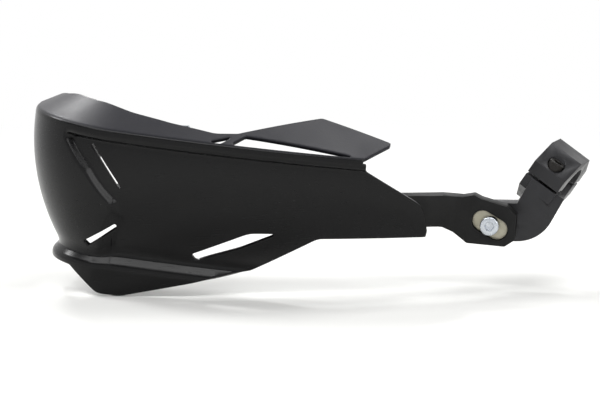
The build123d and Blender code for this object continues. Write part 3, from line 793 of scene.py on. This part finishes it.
# The bosses: from the core bar's web to the wall, each with a blind hole and a root that widens and then
# sinks into the wall. A row of the root is how much wider it is and how far from the end.
screw_head, web = 2.8, 4.2
boss_radius, boss_edge, boss_draft, boss_sink, boss_sides = 5.0, 0.4, 0.1, 1.56, 40
boss_root = ((0.0, 4.5), (0.3, 2.6), (0.8, 1.4), (0.0, 0.4))
hole_radius, hole_depth = 1.9, 5.8
boss_break = radians(50)
screw_seats = bolt_seats("shield_screws", screw_head, guard_z)
wall_tree = BVHTree.FromPolygons(wall_points.tolist(), wall_faces)
boss_shape = bmesh.new()
boss_shape.from_mesh(shield_data)
for seat in screw_seats:
    stand = seat @ Matrix.Translation((0, 0, web * mm))
    length = wall_tree.ray_cast(stand.translation, stand.col[2].xyz)[3] / mm + boss_sink
    profile = (
        (hole_radius, hole_depth),
        (hole_radius, boss_edge),
        (hole_radius + boss_edge, 0.0),
        (boss_radius - boss_draft - boss_edge, 0.0),
        (boss_radius - boss_draft, boss_edge),
        *((boss_radius + wider, length - short) for wider, short in boss_root),
    )
    rounds = [
        [
            boss_shape.verts.new(stand @ (Vector((r * cos(t), r * sin(t), z)) * mm))
            for t in np.linspace(0, 2 * pi, boss_sides, endpoint=False)
        ]
        for r, z in profile
    ]
    for near, far in zip(rounds, rounds[1:]):
        for k in range(boss_sides):
            boss_shape.faces.new((near[k], near[k - 1], far[k - 1], far[k]))
    boss_shape.faces.new(rounds[0])
    boss_shape.faces.new(reversed(rounds[-1]))
boss_shape.to_mesh(shield_data)
boss_shape.free()
shield_data.shade_smooth()
shield_data.set_sharp_from_angle(angle=boss_break)

# Moulded polypropylene: a deep gloss black panel with a few long scuffs, under a hood and a wing whose satin
# grain turns them grey where they face the light. Their colour is also a lighter, bluish black: a painted
# reflection of the sky on the hood and wing. Real grain and scuffs are about 0.2 mm wide, and they are drawn
# at 0.9 mm and 1 mm to show.
gloss_black, satin_black_painted_sky = "#0c0c0d", "#28282d"
grain_size, grain_height, flow_size = 0.9 * mm, 0.2 * mm, 35 * mm
scuff_length, scuff_width, scuff_lean = 30 * mm, 1.0 * mm, radians(24)
satin_from, satin_to = (crease_z + 0.3) * mm, (crease_z + 1.8) * mm
moulded, tree, place = new_material("moulded_polypropylene")
up_guard = node(tree, "ShaderNodeVectorMath", {0: place, 1: guard_z}, operation="DOT_PRODUCT")
above = node(
    tree,
    "ShaderNodeMapRange",
    {"Value": up_guard.outputs["Value"], "From Min": satin_from, "From Max": satin_to},
).outputs["Result"]
flow = node(tree, "ShaderNodeTexNoise", {"Vector": place, "Scale": 1 / flow_size, "Detail": 3})
grain = node(tree, "ShaderNodeTexNoise", {"Vector": place, "Scale": 1 / grain_size, "Detail": 2})
drawn = node(
    tree,
    "ShaderNodeMapping",
    {
        "Vector": place,
        "Rotation": (0, scuff_lean, 0),
        "Scale": (1 / scuff_length, 1 / scuff_width, 1 / scuff_width),
    },
)
scuff = node(tree, "ShaderNodeTexNoise", {"Vector": drawn.outputs["Vector"], "Scale": 1.0, "Detail": 5})
# Painted reflection: the hood and wing above the crease get a lighter, bluish black for the sky on them
black = node(
    tree,
    "ShaderNodeMix",
    {"Factor": above, "A": linear(gloss_black), "B": linear(satin_black_painted_sky)},
    data_type="RGBA",
)
polish = node(
    tree,
    "ShaderNodeMapRange",
    {"Value": flow.outputs["Fac"], "From Min": 0.3, "From Max": 0.7, "To Min": 0.19, "To Max": 0.26},
)
scuffed = node(
    tree,
    "ShaderNodeMapRange",
    {"Value": scuff.outputs["Fac"], "From Min": 0.58, "From Max": 0.75, "To Min": 0.0, "To Max": 0.12},
)
gloss = node(
    tree, "ShaderNodeMath", {0: polish.outputs["Result"], 1: scuffed.outputs["Result"]}, operation="ADD"
)
satin = node(
    tree,
    "ShaderNodeMapRange",
    {"Value": flow.outputs["Fac"], "From Min": 0.3, "From Max": 0.7, "To Min": 0.33, "To Max": 0.42},
)
dullness = node(
    tree, "ShaderNodeMix", {"Factor": above, "A": gloss.outputs["Value"], "B": satin.outputs["Result"]}
)
satin_grain = node(tree, "ShaderNodeMath", {0: grain.outputs["Fac"], 1: above}, operation="MULTIPLY")
grain_relief = node(
    tree,
    "ShaderNodeBump",
    {"Height": satin_grain.outputs["Value"], "Strength": 0.25, "Distance": grain_height},
)
skin = node(
    tree,
    "ShaderNodeBsdfPrincipled",
    {
        "Base Color": black.outputs["Result"],
        "Roughness": dullness.outputs["Result"],
        "Normal": grain_relief.outputs["Normal"],
        "IOR": 1.49,
        "Specular IOR Level": 0.22,
    },
)
node(tree, "ShaderNodeOutputMaterial", {"Surface": skin.outputs["BSDF"]})
show(shield_data, "shield_moulding", moulded, "shield")

# Shield screws: four M4 cap screws of zinc plated steel. They go in from behind, through the core bar's web
# into the bosses, each turned as it came when it was tight.
screw_radius, screw_length, screw_thread = 2.0, 9.7, 7.0
screw_head_radius, screw_key, screw_seed = 4.0, 2.5, 9
screw = bolt_mesh(
    "shield_screw", screw_radius, screw_length, screw_thread, screw_head_radius, screw_head, screw_key
)
shield_screws = row_of_bolts("shield_screws", screw, zinc, screw_seats, screw_seed)
show(shield_screws, "shield_screw_set", zinc, "shield_screws")

# Studio: a round cove of white paper, a soft lamp overhead and five small ones, each set where the hood, the
# ledge or the bevelled edge mirrors it. Away from the object the paper shows as white; near it, it keeps
# the shadow. Lengths are in metres and lamps in watts.
aim = (0.12367, -0.05543, -0.03052)
floor_gap = 0.2 * mm
floor_z = cad_box[0].z - floor_gap
cove = ((3.0, 0.0), (3.5, 0.0), (4.5, 0.12), (5.3, 0.45), (5.8, 1.0), (6.0, 1.8), (6.0, 3.5))
cove_sides = 48
paper_white, lamp_white = "#f4f4f2", "#ffffff"
shadow_reach, white_from, shadow_shape = 0.16, 0.5, (0.7, 0.8, 1)
sky_strength = 0.15
softboxes = (
    ("overhead", (0.6, 0.45, 1.3), (0.8, 0.8), 9),
    ("front_top", (0.0, -1.0, 1.25), (1.6, 0.35), 11),
    ("right_side", (1.35, -0.9, 0.85), (0.4, 1.5), 7),
    ("back_left", (-0.5, 1.05, 1.1), (0.25, 0.25), 10),
    ("left_top", (-0.75, -0.3, 1.25), (0.9, 0.3), 5),
    ("left_low", (-1.26, 0.4, 1.13), (0.35, 0.4), 9),
)
view_turn, view_rise, view_distance, view_end, lens = radians(7), radians(10), 2.3, 30, 222.8
floor_points = [
    (r * cos(t), r * sin(t), floor_z + rise)
    for r, rise in cove
    for t in np.linspace(0, 2 * pi, cove_sides, endpoint=False)
]
floor_faces = [list(range(cove_sides))]
for i in range(0, len(floor_points) - cove_sides, cove_sides):
    for k in range(cove_sides):
        on = (k + 1) % cove_sides
        floor_faces.append((i + k, i + cove_sides + k, i + cove_sides + on, i + on))
floor_data = bpy.data.meshes.new("floor")
floor_data.from_pydata(floor_points, [], floor_faces)
floor_data.shade_smooth()
floor = bpy.data.objects.new("floor", floor_data)
bpy.context.collection.objects.link(floor)

# White paper: matt, so that a shadow lies on it, and plain white a little way off, also in reflections
paper, tree, place = new_material("white_paper")
ray = node(tree, "ShaderNodeLightPath").outputs
mirrored = node(
    tree, "ShaderNodeMath", {0: ray["Is Glossy Ray"], 1: ray["Is Transmission Ray"]}, operation="MAXIMUM"
)
seen = node(
    tree, "ShaderNodeMath", {0: ray["Is Camera Ray"], 1: mirrored.outputs["Value"]}, operation="MAXIMUM"
)
offset = node(tree, "ShaderNodeVectorMath", {0: place, 1: (aim[0], 0.0, floor_z)}, operation="SUBTRACT")
squeezed = node(
    tree, "ShaderNodeVectorMath", {0: offset.outputs["Vector"], 1: shadow_shape}, operation="MULTIPLY"
)
far_off = node(tree, "ShaderNodeVectorMath", {0: squeezed.outputs["Vector"]}, operation="LENGTH")
fade = node(
    tree,
    "ShaderNodeMapRange",
    {"Value": far_off.outputs["Value"], "From Min": shadow_reach, "From Max": white_from},
    interpolation_type="SMOOTHSTEP",
)
whiteness = node(
    tree, "ShaderNodeMath", {0: fade.outputs["Result"], 1: seen.outputs["Value"]}, operation="MULTIPLY"
)
matt = node(tree, "ShaderNodeBsdfDiffuse", {"Color": linear(paper_white)})
white = node(tree, "ShaderNodeEmission", {"Color": linear(lamp_white), "Strength": 1.0})
sheet = node(
    tree,
    "ShaderNodeMixShader",
    {0: whiteness.outputs["Value"], 1: matt.outputs["BSDF"], 2: white.outputs["Emission"]},
)
node(tree, "ShaderNodeOutputMaterial", {"Surface": sheet.outputs["Shader"]})
floor_data.materials.append(paper)

world = bpy.data.worlds.new("studio")
bpy.context.scene.world = world
world.use_nodes = True
world.node_tree.nodes["Background"].inputs["Color"].default_value = linear(lamp_white)
world.node_tree.nodes["Background"].inputs["Strength"].default_value = sky_strength
for name, spot, (wide, deep), watts in softboxes:
    light = bpy.data.lights.new(name, "AREA")
    light.shape = "RECTANGLE"
    light.size, light.size_y = wide, deep
    light.energy = watts
    lamp = bpy.data.objects.new(name, light)
    lamp.location = spot
    lamp.rotation_euler = (Vector(aim) - Vector(spot)).to_track_quat("-Z", "Y").to_euler()
    bpy.context.collection.objects.link(lamp)

to_camera = Vector((sin(view_turn) * cos(view_rise), -cos(view_turn) * cos(view_rise), sin(view_rise)))
camera_data = bpy.data.cameras.new("camera")
camera_data.lens = lens
camera_data.clip_end = view_end
camera = bpy.data.objects.new("camera", camera_data)
camera.location = Vector(aim) + to_camera * view_distance
camera.rotation_euler = (-to_camera).to_track_quat("-Z", "Y").to_euler()
bpy.context.collection.objects.link(camera)
bpy.context.scene.camera = camera
